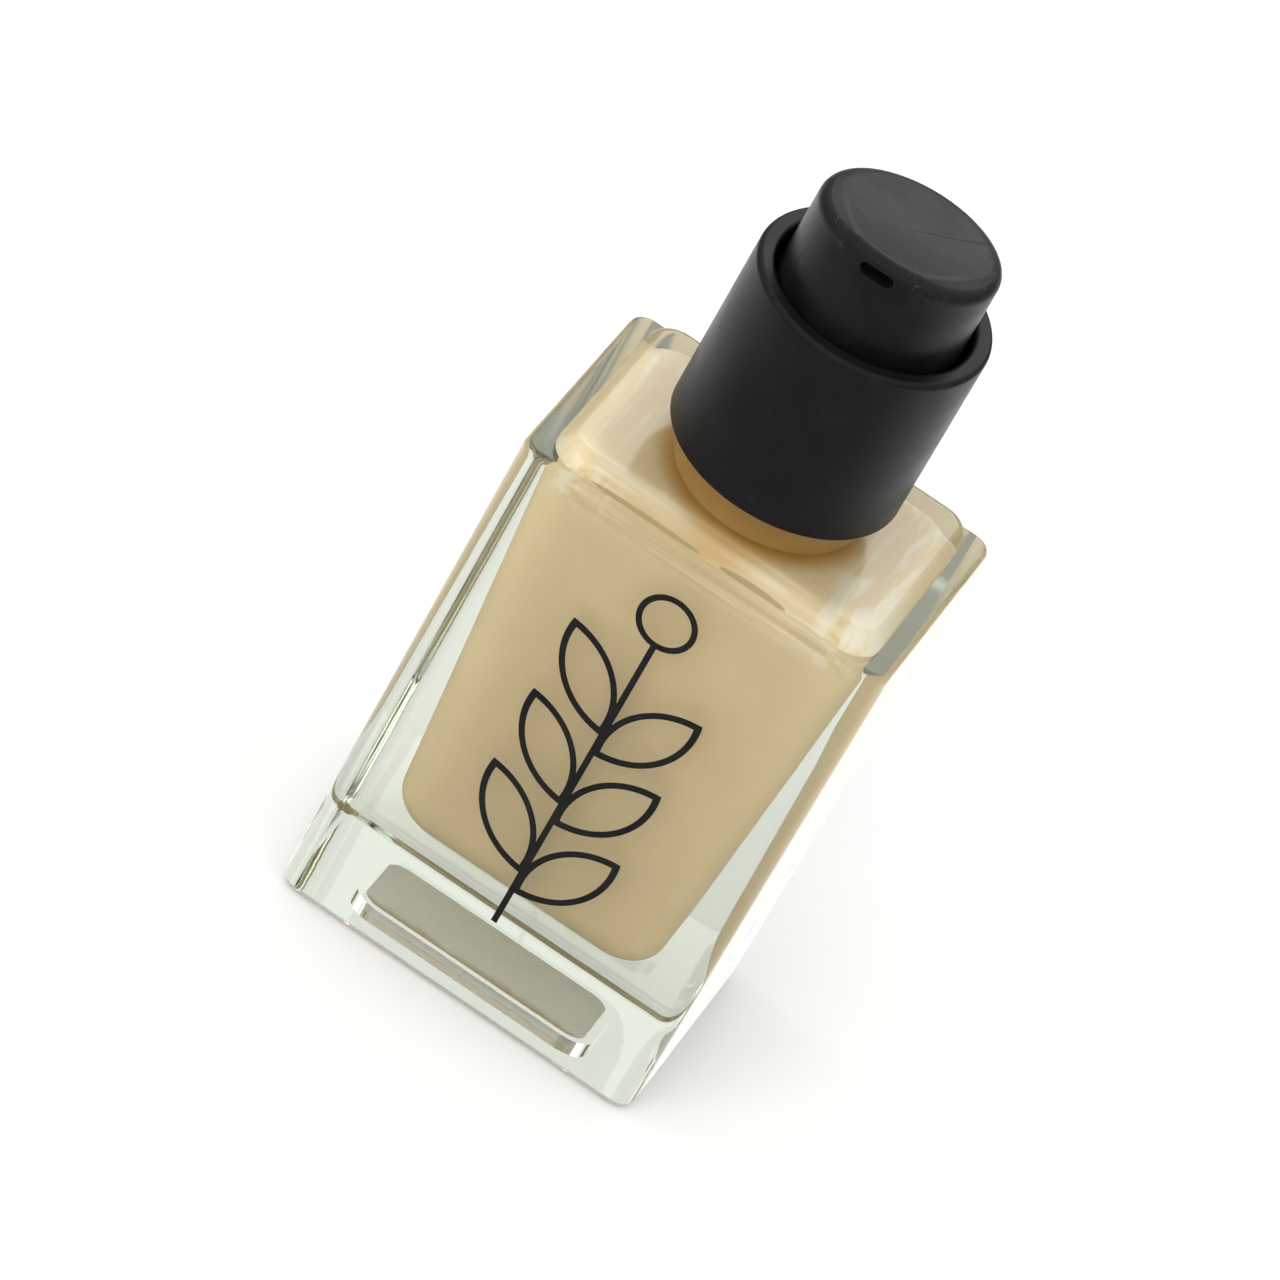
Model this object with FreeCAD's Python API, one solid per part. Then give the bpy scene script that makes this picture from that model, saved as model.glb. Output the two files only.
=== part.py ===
import FreeCAD, Part
import math
import os

from FreeCAD import Vector

# Pump bottle for liquid foundation: a heavy rectangular glass bottle, its filling, and a
# screw-on dispensing pump with a black collar and a press-down head.
# Millimetres. +Z is up, the origin is the centre of the base, the printed front faces -Y.

# ---------------------------------------------------------------- driving dimensions

# glass body
body_width = 40.0
body_depth = 27.8
body_height = 59.7
body_edge_round = 1.9
body_rim_round = 0.7
body_base_round = 1.1
shoulder_rise = 2.0
shoulder_side_inset = 2.3
shoulder_front_inset = 0.9
shoulder_corner_round = 3.2
shoulder_top_round = 1.7

# cavity of the glass
side_wall_top = 2.3
side_wall_base = 5.6
front_wall_top = 2.3
front_wall_base = 3.2
base_thickness = 12.5
shoulder_wall = 1.8
cavity_corner_round = 5.0
cavity_base_round = 4.0
cavity_top_round = 3.0

# recess under the base and the blank label in it
recess_length = 27.0
recess_breadth = 14.5
recess_depth = 0.9
recess_corner_round = 3.0
label_margin = 1.0
label_thickness = 0.12

# neck finish
neck_root_step = 1.75
neck_root_height = 3.2
neck_root_blend = 0.9
neck_height = 11.8
neck_radius = 7.85
neck_bore_gap = 0.5
neck_mouth_round = 0.4
funnel_wall = 1.4
funnel_height = 4.6

# screw thread, shared by the neck and the closure
thread_pitch = 3.175
thread_depth = 1.1
thread_root_width = 2.0
thread_crest_width = 0.9
thread_gap = 0.3
thread_overlap = 0.25
neck_thread_turns = 1.5
closure_thread_turns = 1.2
neck_thread_start = 1.9

# filling
fill_below_neck_root = 0.9
fill_gap = 0.3

# printed ornament on the front
print_thickness = 0.05
print_line = 0.62
print_base_height = 11.0
print_top_height = 49.0
leaf_pairs = 3
leaf_length = 12.5
leaf_breadth = 5.6
leaf_lean = 52.0
bud_radius = 3.1

leaf_first = 0.45
leaf_stagger = 0.25
leaf_tip_line = 1.6 * print_line

# pump housing and what is fixed to it
gasket_thickness = 0.9
flange_setback = 0.25
flange_thickness = 1.2
chamber_radius = 4.0
housing_wall = 0.7
housing_rim_wall = 1.4
housing_rim_height = 2.0
chamber_length = 18.6
housing_floor = 0.9
ball_radius = 1.5
ball_gap = 0.3
ball_lift = 1.0
seat_hole_radius = 1.0
ball_stop_gap = 0.06
nib_reach = 0.55
nib_height = 0.3
nib_width = 0.8
nib_sink = 0.05
nib_count = 3
socket_depth = 4.6
socket_wall = 0.9
tube_radius = 1.8
tube_bore_radius = 1.2
tube_floor_gap = 1.2
tube_cut_rise = 2.4
cap_skirt_wall = 0.55
cap_skirt_height = 1.7
cap_plate = 1.4
cap_sleeve_height = 1.7
cap_sleeve_wall = 0.6
cap_edge_round = 0.3

# plunger
press_stroke = 4.2
valve_stroke = 0.8
stem_radius = 2.2
stem_bore_radius = 1.4
stem_shoulder_height = 1.7
stem_top_height = 10.8
stem_port_height = 0.7
stem_port_width = 1.1
piston_height = 4.1
piston_waist = 0.55
piston_lip_height = 0.9
rod_flange_radius = 3.3
rod_flange_height = 1.1
rod_flange_taper = 0.5
rod_radius = 1.1
rod_flat = 0.35
spigot_length = 3.4
spring_wire = 0.6
spring_radius = 2.9
spring_turns = 7.0
spring_wire_sides = 12

# closure and collar
closure_top_plate = 1.3
closure_wall = 1.05
closure_hole_gap = 0.3
closure_skirt_start = 4.3
closure_thread_setback = 0.05
collar_cover = 1.44
collar_wall = 1.87
collar_start = 3.9
collar_height = 20.1
collar_edge_round = 0.55
collar_foot_round = 0.3

# actuator
head_gap = 0.62
head_wall = 1.3
head_height = 10.1
head_back_drop = 2.5
head_skirt_round = 0.3
head_ceiling_gap = 1.9
head_underside_gap = 0.3
crown_overhang = 2.25
crown_fall = 1.6
dish_lip = 1.8
dish_lip_overhang = 0.1
dish_side_rim = 2.65
dish_back_rim = 1.95
dish_radius = 70.0
dish_depth = 0.7
dish_centre = 0.4
dish_edge_round = 1.5
crown_edge_round = 1.2
core_boss_radius = 3.4
core_boss_height = 6.0
core_disc_height = 1.8
spout_width = 3.0
spout_depth = 2.2
spout_setback = 1.4
spout_corner_round = 0.5
slot_width = 3.5
slot_height = 1.25
slot_below_lip = 1.95
channel_radius = 0.6
riser_radius = 0.85
outlet_radius = 0.5
outlet_drop = 0.1

# clearances
running_gap = 0.05
stem_collar_gap = 0.15
piston_gap = 0.03
rest_gap = 0.04
stop_gap = 0.1
barrel_gap = 0.25

# overlaps that let two solids become one, stock that a later cut takes off, and tolerance
weld = 0.1
shoulder_sink = 2.0
root_sink = 1.0
funnel_sink = 0.5
crown_stock = 1.0
tolerance = 1e-4

# ---------------------------------------------------------------- levels worked out from them

shoulder_z = body_height + shoulder_rise
neck_root_z = shoulder_z + neck_root_height
neck_top_z = shoulder_z + neck_height
cavity_top_z = shoulder_z - shoulder_wall
fill_level_z = neck_root_z - fill_below_neck_root

barrel_radius = chamber_radius + housing_wall
neck_bore_radius = barrel_radius + neck_bore_gap
neck_root_radius = neck_radius + neck_root_step
funnel_radius = neck_root_radius - funnel_wall

flange_radius = neck_radius - flange_setback
flange_z = neck_top_z + gasket_thickness
flange_top_z = flange_z + flange_thickness
rim_radius = chamber_radius + housing_rim_wall
rim_top_z = flange_top_z + housing_rim_height
chamber_floor_z = flange_top_z - chamber_length

ball_bore_radius = ball_radius + ball_gap
seat_drop = ball_radius * math.cos(math.pi / 4)
seat_rise = seat_drop - seat_hole_radius
ball_centre_z = chamber_floor_z - ball_stop_gap - ball_lift - ball_radius
seat_z = ball_centre_z - seat_drop - seat_rise - rest_gap
seat_top_z = seat_z + ball_bore_radius - seat_hole_radius
socket_top_z = seat_z - housing_floor
socket_z = socket_top_z - socket_depth
socket_radius = tube_radius + socket_wall
tube_tip_z = base_thickness + tube_floor_gap

cap_radius = rim_radius + cap_skirt_wall
cap_plate_z = rim_top_z
cap_top_z = cap_plate_z + cap_plate
cap_sleeve_z = cap_plate_z - cap_sleeve_height
sleeve_bore_radius = chamber_radius - running_gap - cap_sleeve_wall

stem_shoulder_top_z = cap_plate_z - stop_gap
stem_shoulder_z = stem_shoulder_top_z - stem_shoulder_height
piston_top_z = stem_shoulder_z - valve_stroke - stop_gap
piston_z = piston_top_z - piston_height
stem_foot_z = piston_z
stem_top_z = cap_top_z + stem_top_height
rod_flange_z = stem_foot_z - rod_flange_height
rod_tip_z = chamber_floor_z + nib_height + press_stroke + 2 * stop_gap

closure_radius = neck_radius + thread_depth + thread_gap + closure_wall
closure_bore_radius = closure_radius - closure_wall
closure_hole_radius = cap_radius + closure_hole_gap
closure_z = shoulder_z + closure_skirt_start
closure_top_z = flange_top_z + rest_gap + closure_top_plate
collar_z = shoulder_z + collar_start
collar_top_z = collar_z + collar_height
collar_radius = closure_radius + collar_cover
collar_bore_radius = collar_radius - collar_wall

head_z = closure_top_z + press_stroke + head_underside_gap
head_top_z = collar_top_z + head_height
head_radius = collar_bore_radius - head_gap
head_bore_radius = head_radius - head_wall
crown_radius = head_radius + crown_overhang
dish_half_width = head_radius - dish_side_rim
dish_back_reach = head_radius - dish_back_rim
ceiling_z = head_top_z - head_back_drop - head_ceiling_gap
slot_z = head_top_z - slot_below_lip


# ---------------------------------------------------------------- small helpers

def up(height):
    return Vector(0, 0, height)


def disc(radius, low, high):
    return Part.makeCylinder(radius, high - low, up(low))


def ring(outer, inner, low, high):
    return disc(outer, low, high).cut(disc(inner, low, high))


def cone(low_radius, high_radius, low, high):
    return Part.makeCone(low_radius, high_radius, high - low, up(low))


def block(width, depth, low, high, x=0.0, y=0.0):
    return Part.makeBox(width, depth, high - low, Vector(x - width / 2, y - depth / 2, low))


def join(pieces):
    return pieces[0].multiFuse(pieces[1:]).removeSplitter()


def is_upright(edge):
    ends = [vertex.Point for vertex in edge.Vertexes]
    return len(ends) == 2 and abs(ends[0].x - ends[1].x) + abs(ends[0].y - ends[1].y) < tolerance


def edges_at(shape, height):
    boxes = [(edge, edge.BoundBox) for edge in shape.Edges]
    return [edge for edge, box in boxes
            if abs(box.ZMin - height) < tolerance and abs(box.ZMax - height) < tolerance]


def edges_between(shape, first, second):
    """The edges where a face on one kind of surface meets a face on the other."""
    chosen = []
    for edge in shape.Edges:
        faces = [face for face in shape.Faces if any(edge.isSame(side) for side in face.Edges)]
        if edge.Length > weld / 2 and {type(face.Surface) for face in faces} == {first, second}:
            chosen.append(edge)
    return chosen


def rounded_block(width, depth, low, high, corner):
    solid = block(width, depth, low, high)
    return solid.makeFillet(corner, [edge for edge in solid.Edges if is_upright(edge)])


def rounded_rectangle(width, depth, corner, height):
    """A closed outline with round corners, starting on the right of the front side."""
    x, y = width / 2, depth / 2
    lean = corner * (1 - math.sqrt(0.5))
    edges = []
    for sx, sy in ((1, -1), (1, 1), (-1, 1), (-1, -1)):
        before = Vector(sx * (x - corner), sy * y, height)
        middle = Vector(sx * (x - lean), sy * (y - lean), height)
        after = Vector(sx * x, sy * (y - corner), height)
        if sx * sy > 0:
            before, after = after, before
        if edges:
            edges.append(Part.LineSegment(edges[-1].lastVertex().Point, before).toShape())
        edges.append(Part.Arc(before, middle, after).toShape())
    edges.append(Part.LineSegment(edges[-1].lastVertex().Point, edges[0].firstVertex().Point).toShape())
    return Part.Wire(edges)


def thread_ridge(root_radius, crest_radius, start, turns):
    """A helical ridge between two radii, centred on the height start at +X."""
    half_root = thread_root_width / 2
    half_crest = thread_crest_width / 2
    side = math.copysign(thread_overlap, root_radius - crest_radius)
    corners = [(root_radius + side, -half_root), (crest_radius, -half_crest),
               (crest_radius, half_crest), (root_radius + side, half_root)]
    outline = Part.makePolygon([Vector(x, 0, z) for x, z in corners + corners[:1]])
    spine = Part.makeHelix(thread_pitch, thread_pitch * turns, root_radius)
    ridge = Part.Wire(spine).makePipeShell([outline], True, True)
    ridge.translate(up(start))
    return ridge


# ---------------------------------------------------------------- bottle and what it holds

def cavity():
    """The space inside the glass, drafted so that the walls thicken towards the base."""
    low = rounded_rectangle(body_width - 2 * side_wall_base, body_depth - 2 * front_wall_base,
                            cavity_corner_round, base_thickness)
    high = rounded_rectangle(body_width - 2 * side_wall_top, body_depth - 2 * front_wall_top,
                             cavity_corner_round, cavity_top_z)
    space = Part.makeLoft([low, high], True, True)
    space = space.makeFillet(cavity_base_round, edges_at(space, base_thickness))
    space = space.makeFillet(cavity_top_round, edges_at(space, cavity_top_z))
    funnel_z = cavity_top_z - funnel_sink
    funnel = cone(funnel_radius, neck_bore_radius, funnel_z, funnel_z + funnel_height)
    return join([space, funnel, disc(neck_bore_radius, cavity_top_z, neck_top_z)])


def glass_bottle():
    body = rounded_block(body_width, body_depth, 0, body_height, body_edge_round)
    body = body.makeFillet(body_base_round, edges_at(body, 0))
    body = body.makeFillet(body_rim_round, edges_at(body, body_height))
    shoulder = rounded_block(body_width - 2 * shoulder_side_inset, body_depth - 2 * shoulder_front_inset,
                             body_height - shoulder_sink, shoulder_z, shoulder_corner_round)
    shoulder = shoulder.makeFillet(shoulder_top_round, edges_at(shoulder, shoulder_z))
    root = disc(neck_root_radius, shoulder_z - root_sink, neck_root_z)
    root = root.makeFillet(neck_root_blend, edges_at(root, neck_root_z))
    neck = disc(neck_radius, neck_root_z - root_sink, neck_top_z)
    neck = neck.makeFillet(neck_mouth_round, edges_at(neck, neck_top_z))
    ridge = thread_ridge(neck_radius, neck_radius + thread_depth, neck_root_z + neck_thread_start,
                         neck_thread_turns)
    recess = rounded_block(recess_length, recess_breadth, 0, recess_depth, recess_corner_round)
    glass = join([body, shoulder, root, neck])
    return glass.cut(cavity()).cut(recess).fuse(ridge)


def foundation_fill():
    level = block(body_width, body_depth, 0, fill_level_z)
    around_pump = join([
        disc(barrel_radius + fill_gap, socket_top_z - fill_gap, neck_top_z),
        disc(socket_radius + fill_gap, socket_z - fill_gap, neck_top_z),
        disc(tube_radius + fill_gap, tube_tip_z - fill_gap, neck_top_z)])
    return cavity().common(level).cut(around_pump)


def base_label():
    label = rounded_block(recess_length - 2 * label_margin, recess_breadth - 2 * label_margin,
                          recess_depth - label_thickness, recess_depth, recess_corner_round - label_margin)
    return label


def leaf_shape(length, breadth):
    """A pointed leaf from the origin along +X, as the overlap of two round discs."""
    radius = (length * length / 4 + breadth * breadth / 4) / breadth
    rise = radius - breadth / 2
    sides = [Part.makeCylinder(radius, print_thickness, Vector(length / 2, side * rise, 0))
             for side in (-1, 1)]
    return sides[0].common(sides[1])


def leaf_outline():
    inner = leaf_shape(leaf_length - 2 * leaf_tip_line, leaf_breadth - 2 * print_line)
    inner.translate(Vector(leaf_tip_line, 0, 0))
    return leaf_shape(leaf_length, leaf_breadth).cut(inner)


def front_print():
    """A plain sprig: one stalk, pairs of outlined leaves and a round bud."""
    stalk_length = print_top_height - print_base_height
    strokes = [Part.makeBox(print_line, stalk_length, print_thickness, Vector(-print_line / 2, 0, 0))]
    bud = Part.makeCylinder(bud_radius, print_thickness)
    bud = bud.cut(Part.makeCylinder(bud_radius - print_line, print_thickness))
    bud.translate(Vector(0, stalk_length + bud_radius - print_line / 2, 0))
    strokes.append(bud)
    spacing = stalk_length / (leaf_pairs + 1)
    for pair in range(leaf_pairs):
        for side in (1, -1):
            leaf = leaf_outline()
            turn = leaf_lean if side > 0 else 180 - leaf_lean
            leaf.rotate(Vector(0, 0, 0), Vector(0, 0, 1), turn)
            leaf.translate(Vector(0, spacing * (pair + leaf_first + leaf_stagger * (side < 0)), 0))
            strokes.append(leaf)
    sprig = join(strokes)
    sprig.rotate(Vector(0, 0, 0), Vector(1, 0, 0), 90)
    sprig.translate(Vector(0, -body_depth / 2, print_base_height))
    return sprig


# ---------------------------------------------------------------- pump housing

def neck_gasket():
    return ring(flange_radius, barrel_radius + barrel_gap, neck_top_z, flange_z)


def pump_housing():
    outside = join([
        disc(barrel_radius, chamber_floor_z - housing_floor, flange_z + weld),
        disc(flange_radius, flange_z, flange_top_z),
        disc(rim_radius, flange_z, rim_top_z),
        disc(ball_bore_radius + socket_wall, socket_top_z, chamber_floor_z),
        disc(socket_radius, socket_z, socket_top_z + weld)])
    inside = join([
        disc(chamber_radius, chamber_floor_z, rim_top_z),
        disc(ball_bore_radius, seat_top_z, chamber_floor_z + weld),
        cone(seat_hole_radius, ball_bore_radius, seat_z, seat_top_z),
        disc(seat_hole_radius, socket_top_z - weld, seat_z),
        disc(tube_radius, socket_z, socket_top_z)])
    shell = outside.cut(inside)
    nibs = []
    for step in range(nib_count):
        nib = block(nib_reach + socket_wall, nib_width, chamber_floor_z - nib_sink,
                    chamber_floor_z + nib_height, x=ball_bore_radius + (socket_wall - nib_reach) / 2)
        nib.rotate(Vector(0, 0, 0), Vector(0, 0, 1), 360 * step / nib_count)
        nibs.append(nib)
    return join([shell] + nibs)


def housing_cap():
    plate = ring(cap_radius, stem_radius + running_gap, cap_plate_z, cap_top_z)
    outer_edge = [edge for edge in edges_at(plate, cap_top_z) if edge.BoundBox.XMax > rim_radius]
    plate = plate.makeFillet(cap_edge_round, outer_edge)
    skirt = ring(cap_radius, rim_radius, cap_plate_z - cap_skirt_height, cap_plate_z + weld)
    sleeve = ring(sleeve_bore_radius + cap_sleeve_wall, sleeve_bore_radius, cap_sleeve_z, cap_plate_z + weld)
    return join([plate, skirt, sleeve])


def dip_tube():
    tube = ring(tube_radius, tube_bore_radius, tube_tip_z, socket_top_z)
    wedge = block(4 * tube_radius, 4 * tube_radius, -4 * tube_radius, 0)
    lean = math.degrees(math.atan2(tube_cut_rise, 2 * tube_radius))
    wedge.rotate(Vector(0, 0, 0), Vector(0, 1, 0), -lean)
    wedge.translate(up(tube_tip_z + tube_cut_rise / 2))
    return tube.cut(wedge)


def inlet_ball():
    return Part.makeSphere(ball_radius, up(ball_centre_z))


def return_spring():
    length = rod_flange_z - chamber_floor_z - spring_wire
    spine = Part.makeHelix(length / spring_turns, length, spring_radius)
    turns = [2 * math.pi * side / spring_wire_sides for side in range(spring_wire_sides + 1)]
    wire = Part.makePolygon([Vector(spring_radius + spring_wire / 2 * math.cos(turn), 0,
                                    spring_wire / 2 * math.sin(turn)) for turn in turns])
    coil = Part.Wire(spine).makePipeShell([wire], True, True)
    coil.translate(up(chamber_floor_z + spring_wire / 2))
    return coil


# ---------------------------------------------------------------- plunger

def stem():
    tube = ring(stem_radius, stem_bore_radius, stem_foot_z, stem_top_z)
    collar = ring(sleeve_bore_radius - stem_collar_gap, stem_bore_radius, stem_shoulder_z,
                  stem_shoulder_top_z)
    ports = block(4 * stem_radius, stem_port_width, stem_foot_z, stem_foot_z + stem_port_height)
    return join([tube, collar]).cut(ports)


def piston_rod():
    spigot = disc(stem_bore_radius, stem_foot_z - weld, stem_foot_z + spigot_length)
    flow_side = stem_bore_radius - rod_flat
    for side in (-1, 1):
        spigot = spigot.cut(block(2 * rod_flat, 4 * stem_bore_radius, stem_foot_z, stem_top_z,
                                  x=side * (flow_side + rod_flat)))
    flange = cone(rod_flange_radius, rod_flange_radius - rod_flange_taper, rod_flange_z, stem_foot_z)
    guide = disc(rod_radius, rod_tip_z, rod_flange_z + weld)
    guide = guide.makeFillet(rod_radius / 2, edges_at(guide, rod_tip_z))
    return join([spigot, flange, guide])


def piston_seal():
    outer = chamber_radius - piston_gap
    waist = ring(outer - piston_waist, stem_radius + piston_gap, piston_z, piston_top_z)
    low_lip = ring(outer, stem_radius + piston_gap, piston_z, piston_z + piston_lip_height)
    high_lip = ring(outer, stem_radius + piston_gap, piston_top_z - piston_lip_height, piston_top_z)
    return join([waist, low_lip, high_lip])


# ---------------------------------------------------------------- closure and collar

def screw_closure():
    skirt = ring(closure_radius, closure_bore_radius, closure_z, closure_top_z)
    plate = ring(closure_bore_radius + weld, closure_hole_radius, closure_top_z - closure_top_plate,
                 closure_top_z)
    start = neck_root_z + neck_thread_start + thread_pitch / 2
    ridge = thread_ridge(closure_bore_radius, closure_bore_radius - thread_depth + closure_thread_setback,
                         start, closure_thread_turns)
    return join([skirt, plate]).fuse(ridge)


def collar_shell():
    tube = disc(collar_radius, collar_z, collar_top_z)
    tube = tube.cut(disc(closure_radius, collar_z, closure_top_z))
    tube = tube.cut(disc(collar_bore_radius, collar_z, collar_top_z))
    rim = edges_at(tube, collar_top_z)
    tube = tube.makeFillet(collar_edge_round, rim)
    foot = [edge for edge in edges_at(tube, collar_z) if edge.BoundBox.XMax > closure_radius + weld]
    return tube.makeFillet(collar_foot_round, foot)


# ---------------------------------------------------------------- press-down head

def split_circle(radius, turns, height):
    """A circle of four arcs that end at the given angles from the front."""

    def spot(turn):
        angle = math.radians(turn)
        return Vector(radius * math.sin(angle), -radius * math.cos(angle), height)

    ends = [-turns[0], turns[0], turns[1], 360 - turns[1], 360 - turns[0]]
    return Part.Wire([Part.Arc(spot(a), spot((a + b) / 2), spot(b)).toShape()
                      for a, b in zip(ends, ends[1:])])


def dish_outline():
    """A teardrop: a short front lip, two straight flanks and a round back."""
    front = -head_radius - dish_lip_overhang
    lip_left, lip_right = Vector(-dish_lip, front, 0), Vector(dish_lip, front, 0)
    left, right = Vector(-dish_half_width, 0, 0), Vector(dish_half_width, 0, 0)
    return Part.Wire([Part.LineSegment(lip_left, lip_right).toShape(),
                      Part.LineSegment(lip_right, right).toShape(),
                      Part.Arc(right, Vector(0, dish_back_reach, 0), left).toShape(),
                      Part.LineSegment(left, lip_left).toShape()])


def head_crown():
    """The sloping top of the head: a wide roof falling away from the dish on all sides but the front."""
    lip_angle = math.degrees(math.asin(dish_lip / crown_radius))
    eaves = split_circle(crown_radius, (lip_angle, 90), -crown_fall)
    roof = Part.makeLoft([eaves, dish_outline()], True, True)
    crown = join([roof, disc(crown_radius, -head_height - press_stroke, -crown_fall)])
    crown = crown.cut(Part.makeSphere(dish_radius, Vector(0, dish_centre, dish_radius - dish_depth)))
    lean = math.degrees(math.atan2(head_back_drop, 2 * head_radius))
    crown.rotate(Vector(0, 0, 0), Vector(1, 0, 0), -lean)
    crown.translate(up(head_top_z - head_back_drop / 2))
    return crown


def spout_block(gap):
    """The rising end of the flow channel; the shell's pocket is the same shape with a gap."""
    width = spout_width + 2 * gap
    low_y = -head_radius + spout_setback - gap
    depth = spout_depth + 2 * gap
    rise = block(width, depth, ceiling_z - core_disc_height, slot_z + slot_height / 2 + gap,
                 y=low_y + depth / 2)
    return rise.makeFillet(spout_corner_round, [edge for edge in rise.Edges if is_upright(edge)])


def slot_hole():
    """The oval outlet, wider than it is tall."""
    straight = slot_width - slot_height
    length = head_wall + spout_setback
    middle = block(straight, length, slot_z - slot_height / 2, slot_z + slot_height / 2,
                   y=-head_radius)
    ends = []
    for side in (-1, 1):
        start = Vector(side * straight / 2, -head_radius - length / 2, slot_z)
        ends.append(Part.makeCylinder(slot_height / 2, length, start, Vector(0, 1, 0)))
    return join([middle] + ends)


def actuator_shell():
    solid = disc(head_radius, head_z, head_top_z + crown_stock).common(head_crown())
    solid = solid.makeFillet(dish_edge_round, edges_between(solid, Part.BSplineSurface, Part.Sphere))
    solid = solid.makeFillet(crown_edge_round, edges_between(solid, Part.BSplineSurface, Part.Cylinder))
    solid = solid.makeFillet(head_skirt_round, edges_at(solid, head_z))
    solid = solid.cut(disc(head_bore_radius, head_z, ceiling_z))
    return solid.cut(spout_block(running_gap)).cut(slot_hole())


def actuator_core():
    disc_z = ceiling_z - core_disc_height
    boss = disc(core_boss_radius, stem_top_z - core_boss_height, ceiling_z)
    web = disc(head_bore_radius, disc_z, ceiling_z)
    core = join([boss, web, spout_block(0)])
    bend_y = -head_radius + spout_setback + spout_depth / 2
    channel_z = disc_z + core_disc_height / 2
    socket = disc(stem_radius, stem_top_z - core_boss_height, stem_top_z)
    well = disc(stem_bore_radius, stem_top_z, channel_z)
    across = Part.makeCylinder(channel_radius, -bend_y, Vector(0, 0, channel_z), Vector(0, -1, 0))
    riser = disc(riser_radius, channel_z - channel_radius, slot_z + outlet_radius)
    riser.translate(Vector(0, bend_y, 0))
    outlet_start = Vector(0, bend_y, slot_z - outlet_drop)
    outlet = Part.makeCylinder(outlet_radius, spout_depth, outlet_start, Vector(0, -1, 0))
    for bore in (socket, well, across, riser, outlet):
        core = core.cut(bore)
    return core


pieces = {
    "glass_bottle": glass_bottle,
    "foundation_fill": foundation_fill,
    "front_print": front_print,
    "base_label": base_label,
    "neck_gasket": neck_gasket,
    "pump_housing": pump_housing,
    "housing_cap": housing_cap,
    "dip_tube": dip_tube,
    "inlet_ball": inlet_ball,
    "return_spring": return_spring,
    "stem": stem,
    "piston_rod": piston_rod,
    "piston_seal": piston_seal,
    "screw_closure": screw_closure,
    "collar_shell": collar_shell,
    "actuator_shell": actuator_shell,
    "actuator_core": actuator_core,
}

os.makedirs("parts", exist_ok=True)
for name, make in pieces.items():
    solid = make()
    solid.exportStep("parts/" + name + ".step")
    print(name, round(solid.Volume, 2), "mm3")
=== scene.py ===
import math

import bmesh
import bpy
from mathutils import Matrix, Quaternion, Vector


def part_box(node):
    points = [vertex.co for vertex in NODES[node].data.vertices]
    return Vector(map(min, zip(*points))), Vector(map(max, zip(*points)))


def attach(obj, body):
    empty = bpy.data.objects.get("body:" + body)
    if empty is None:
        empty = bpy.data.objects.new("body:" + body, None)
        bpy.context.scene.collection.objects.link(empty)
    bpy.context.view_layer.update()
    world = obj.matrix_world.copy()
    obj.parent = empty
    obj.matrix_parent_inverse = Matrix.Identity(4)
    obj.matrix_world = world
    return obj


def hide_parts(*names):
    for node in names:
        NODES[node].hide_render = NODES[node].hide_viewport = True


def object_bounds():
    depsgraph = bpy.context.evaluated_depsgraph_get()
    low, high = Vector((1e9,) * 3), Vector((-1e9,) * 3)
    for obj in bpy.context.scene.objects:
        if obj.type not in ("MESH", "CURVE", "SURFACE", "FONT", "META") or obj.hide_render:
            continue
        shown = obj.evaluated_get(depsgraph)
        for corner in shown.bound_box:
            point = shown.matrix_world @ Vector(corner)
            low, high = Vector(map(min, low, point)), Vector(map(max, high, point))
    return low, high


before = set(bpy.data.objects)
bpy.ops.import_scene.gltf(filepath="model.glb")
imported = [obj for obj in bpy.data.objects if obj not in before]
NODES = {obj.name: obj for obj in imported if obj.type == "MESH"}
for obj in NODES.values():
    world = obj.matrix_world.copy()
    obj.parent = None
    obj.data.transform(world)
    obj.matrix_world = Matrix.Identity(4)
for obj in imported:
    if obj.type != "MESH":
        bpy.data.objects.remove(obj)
cad_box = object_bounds()

MM = 0.001

# Camera: where it looks, how far away it stands, and how much it leans.
CAMERA_AIM = Vector((-2.85, 0.0, 37.79)) * MM
CAMERA_DISTANCE = 867.1 * MM
CAMERA_AZIMUTH = 5.97
CAMERA_ELEVATION = 37.55
CAMERA_ROLL = 30.15
CAMERA_LENS = 260.3
CAMERA_SENSOR = 36.0
CAMERA_NEAR = 0.01
CAMERA_FAR = 20.0

# Brightness of the room, as reflections see it: in front it is dim up to a fair
# height, and elsewhere only a belt near the horizon is dim. The table is brightest.
FRONT_LOW = 0.5
FRONT_HIGH = 1.0
BELT = 0.35
AROUND = 1.0
BELT_RISE = 0.08
TABLE_GLARE = 1.25

# Soft lamps: name, place, width, height, power, and the rays that don't see the lamp.
LAMPS = (
    ("left_soft_box", (-0.95, -0.1, 0.5), 0.8, 0.9, 3.8, "visible_glossy"),
    ("right_soft_box", (0.95, 0.0, 0.45), 0.8, 0.9, 3.1, "visible_glossy"),
    ("front_soft_box", (-0.25, -0.95, 0.95), 1.0, 0.8, 8.8, "visible_glossy"),
    ("back_soft_box", (-0.1, 1.1, 0.68), 0.9, 0.6, 2.8, "visible_transmission"),
)

# Levels and radii that the finishes are placed by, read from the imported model.
FILL_LOW, FILL_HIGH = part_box("foundation_fill")
HEAD_LOW, HEAD_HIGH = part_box("actuator_shell")
LABEL_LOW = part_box("base_label")[0]
NECK_ROOT_RADIUS = 9.6 * MM
WET_SKIN = 0.03 * MM
FLOOR_GAP = 0.2 * MM
SEAM_AZIMUTH = -50.0
FLOOR_SIZE = 4.0
MERGE_DISTANCE = 0.000002
SHARP_ANGLE = 35.0

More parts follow.
